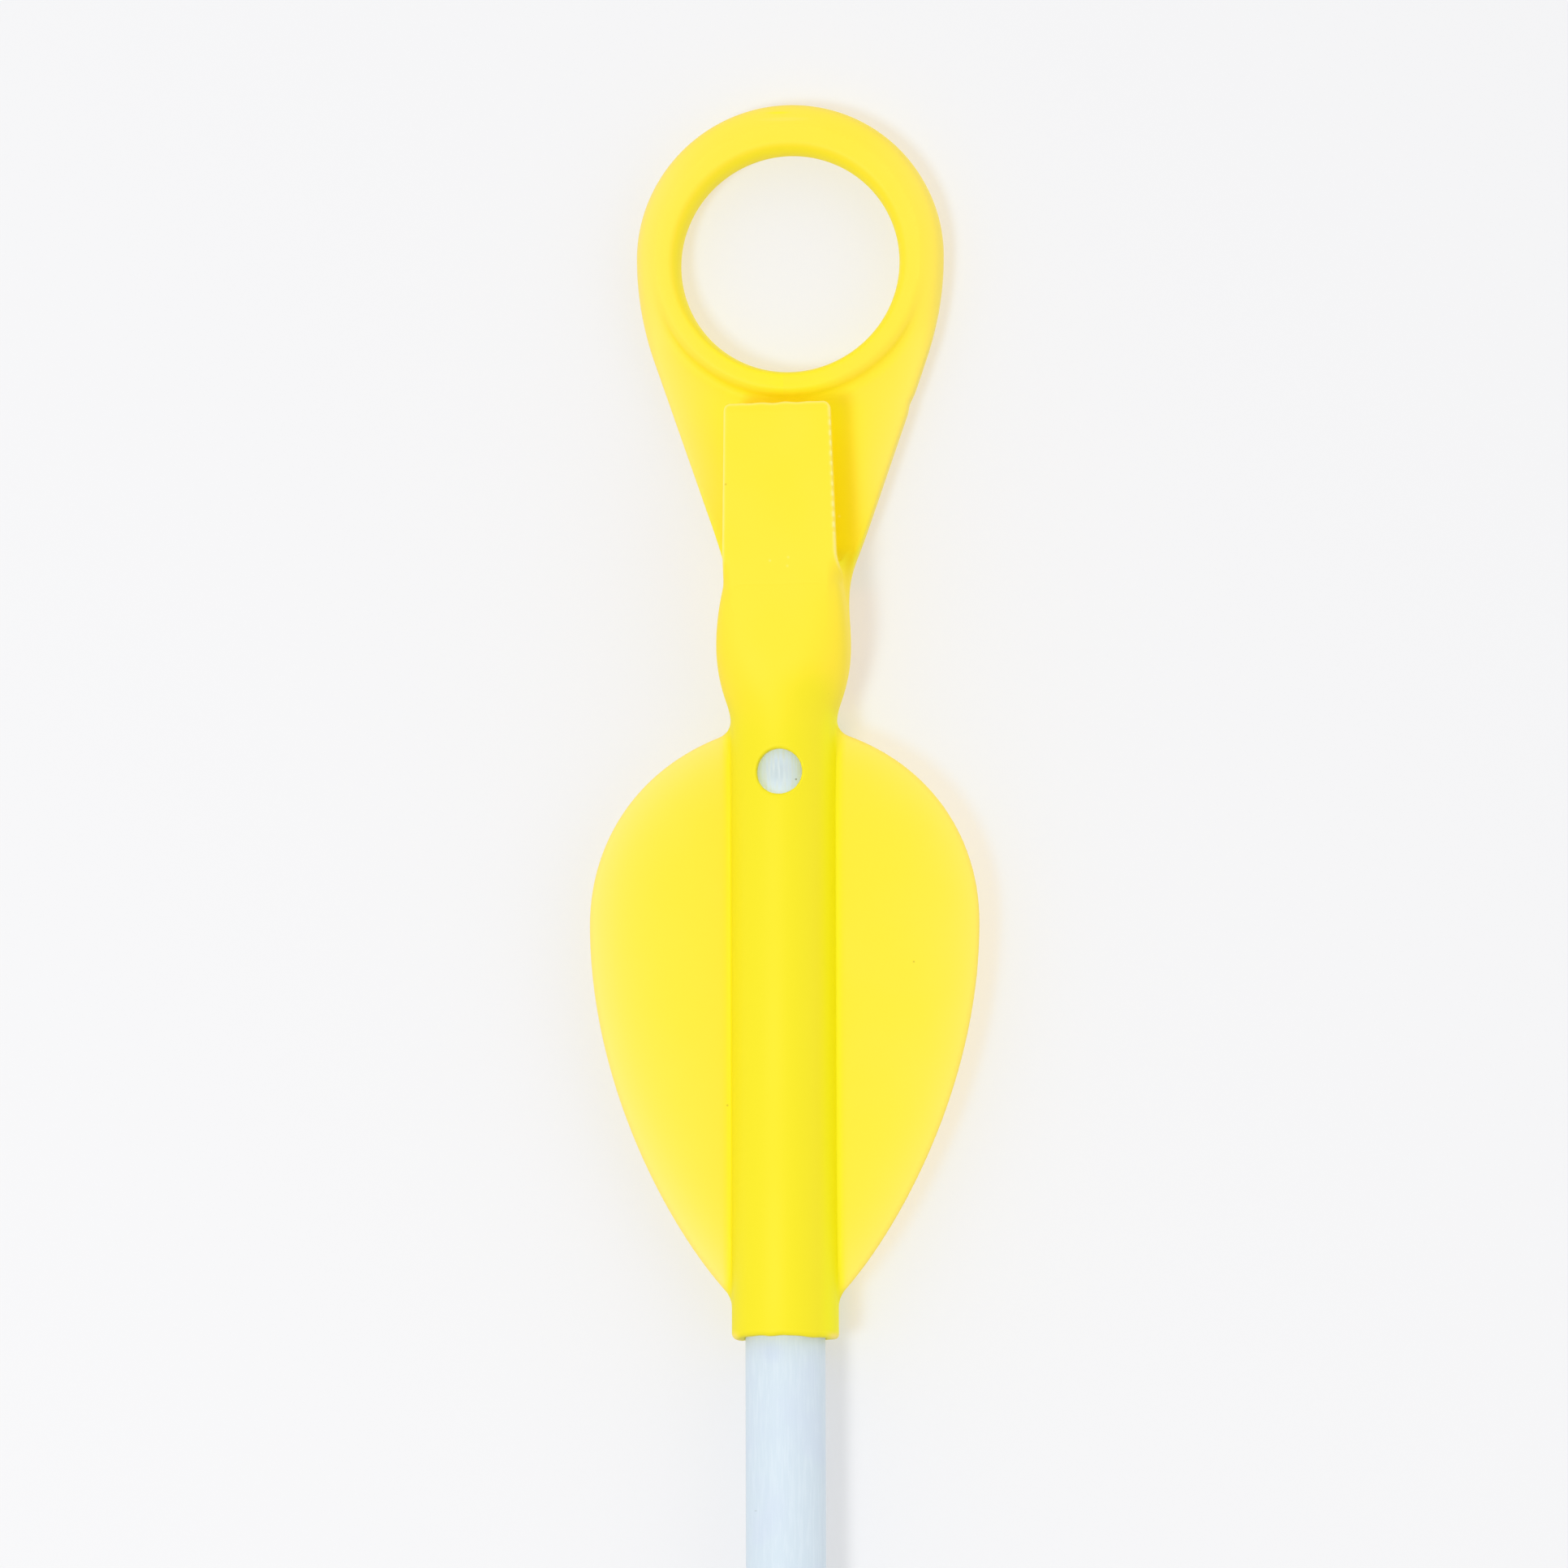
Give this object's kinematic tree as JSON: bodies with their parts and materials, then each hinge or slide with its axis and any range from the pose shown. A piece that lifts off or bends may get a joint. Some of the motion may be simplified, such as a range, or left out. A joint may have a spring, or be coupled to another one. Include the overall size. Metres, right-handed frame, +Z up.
{
  "type": "ring-head wand",
  "caption": "Slim wand: a yellow moulded ring head with a springy clip tongue and leaf-shaped wings, fixed on a pale fibreglass rod that ends in a domed cap.",
  "frame": {"origin": "middle of the wand's length and width, on the surface that it lies on", "axes": "+Y along the rod towards the ring, +Z up from the wand's back to its front, +X to the right seen from the front with the ring up"},
  "size_m": [0.0492, 0.4462, 0.0134],
  "materials": {
    "yellow_plastic": "bright yellow injection-moulded polypropylene, fine satin texture, soft flash along its parting edges",
    "pale_fibreglass": "pale blue-grey pultruded glass fibre, satin, with fine lengthwise fibre streaks"
  },
  "bodies": {
    "head": {"ring_head": "yellow_plastic", "fibreglass_rod": "pale_fibreglass", "rod_end_cap": "yellow_plastic"},
    "tongue": {"clip_tongue": "yellow_plastic"}
  },
  "joints": [
    {"name": "tongue_flex", "type": "hinge", "parent": "head", "child": "tongue", "pos_m": [0, 0.1626, 0.0103], "axis": [1, 0, 0], "range_deg": [-10, 12], "stiffness_Nm_per_rad": 2.4}
  ]
}
